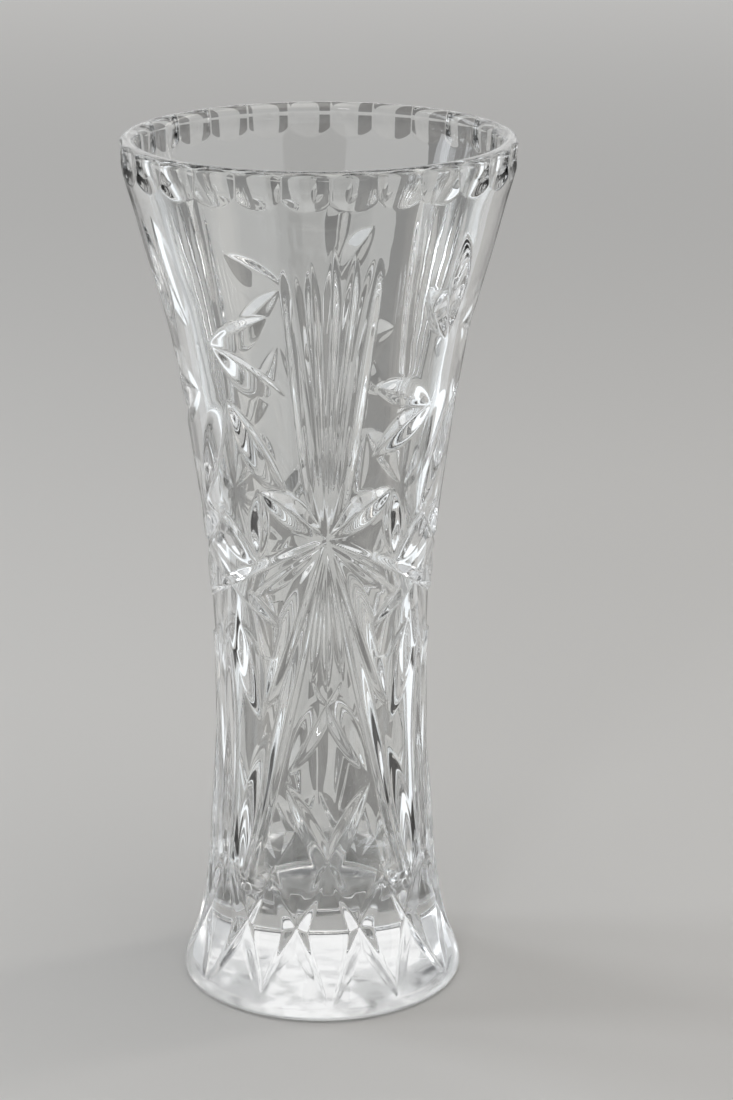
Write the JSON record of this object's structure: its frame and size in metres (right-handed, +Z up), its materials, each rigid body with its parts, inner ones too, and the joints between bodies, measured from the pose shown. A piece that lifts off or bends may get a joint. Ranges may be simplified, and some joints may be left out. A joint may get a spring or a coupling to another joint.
{
  "type": "bud vase",
  "caption": "Tall flared bud vase of clear cut glass with a star, fan and pinwheel pattern, a fluted lip and a heavy solid foot.",
  "frame": {"origin": "centre of the flat underside of the foot", "axes": "+Z up along the axis of the vase to the mouth, -Y towards the cut star that faces the front"},
  "size_m": [0.0882, 0.0881, 0.2],
  "materials": {
    "crystal": "clear polished lead crystal"
  },
  "bodies": {
    "root": {"vase": "crystal"}
  },
  "joints": []
}
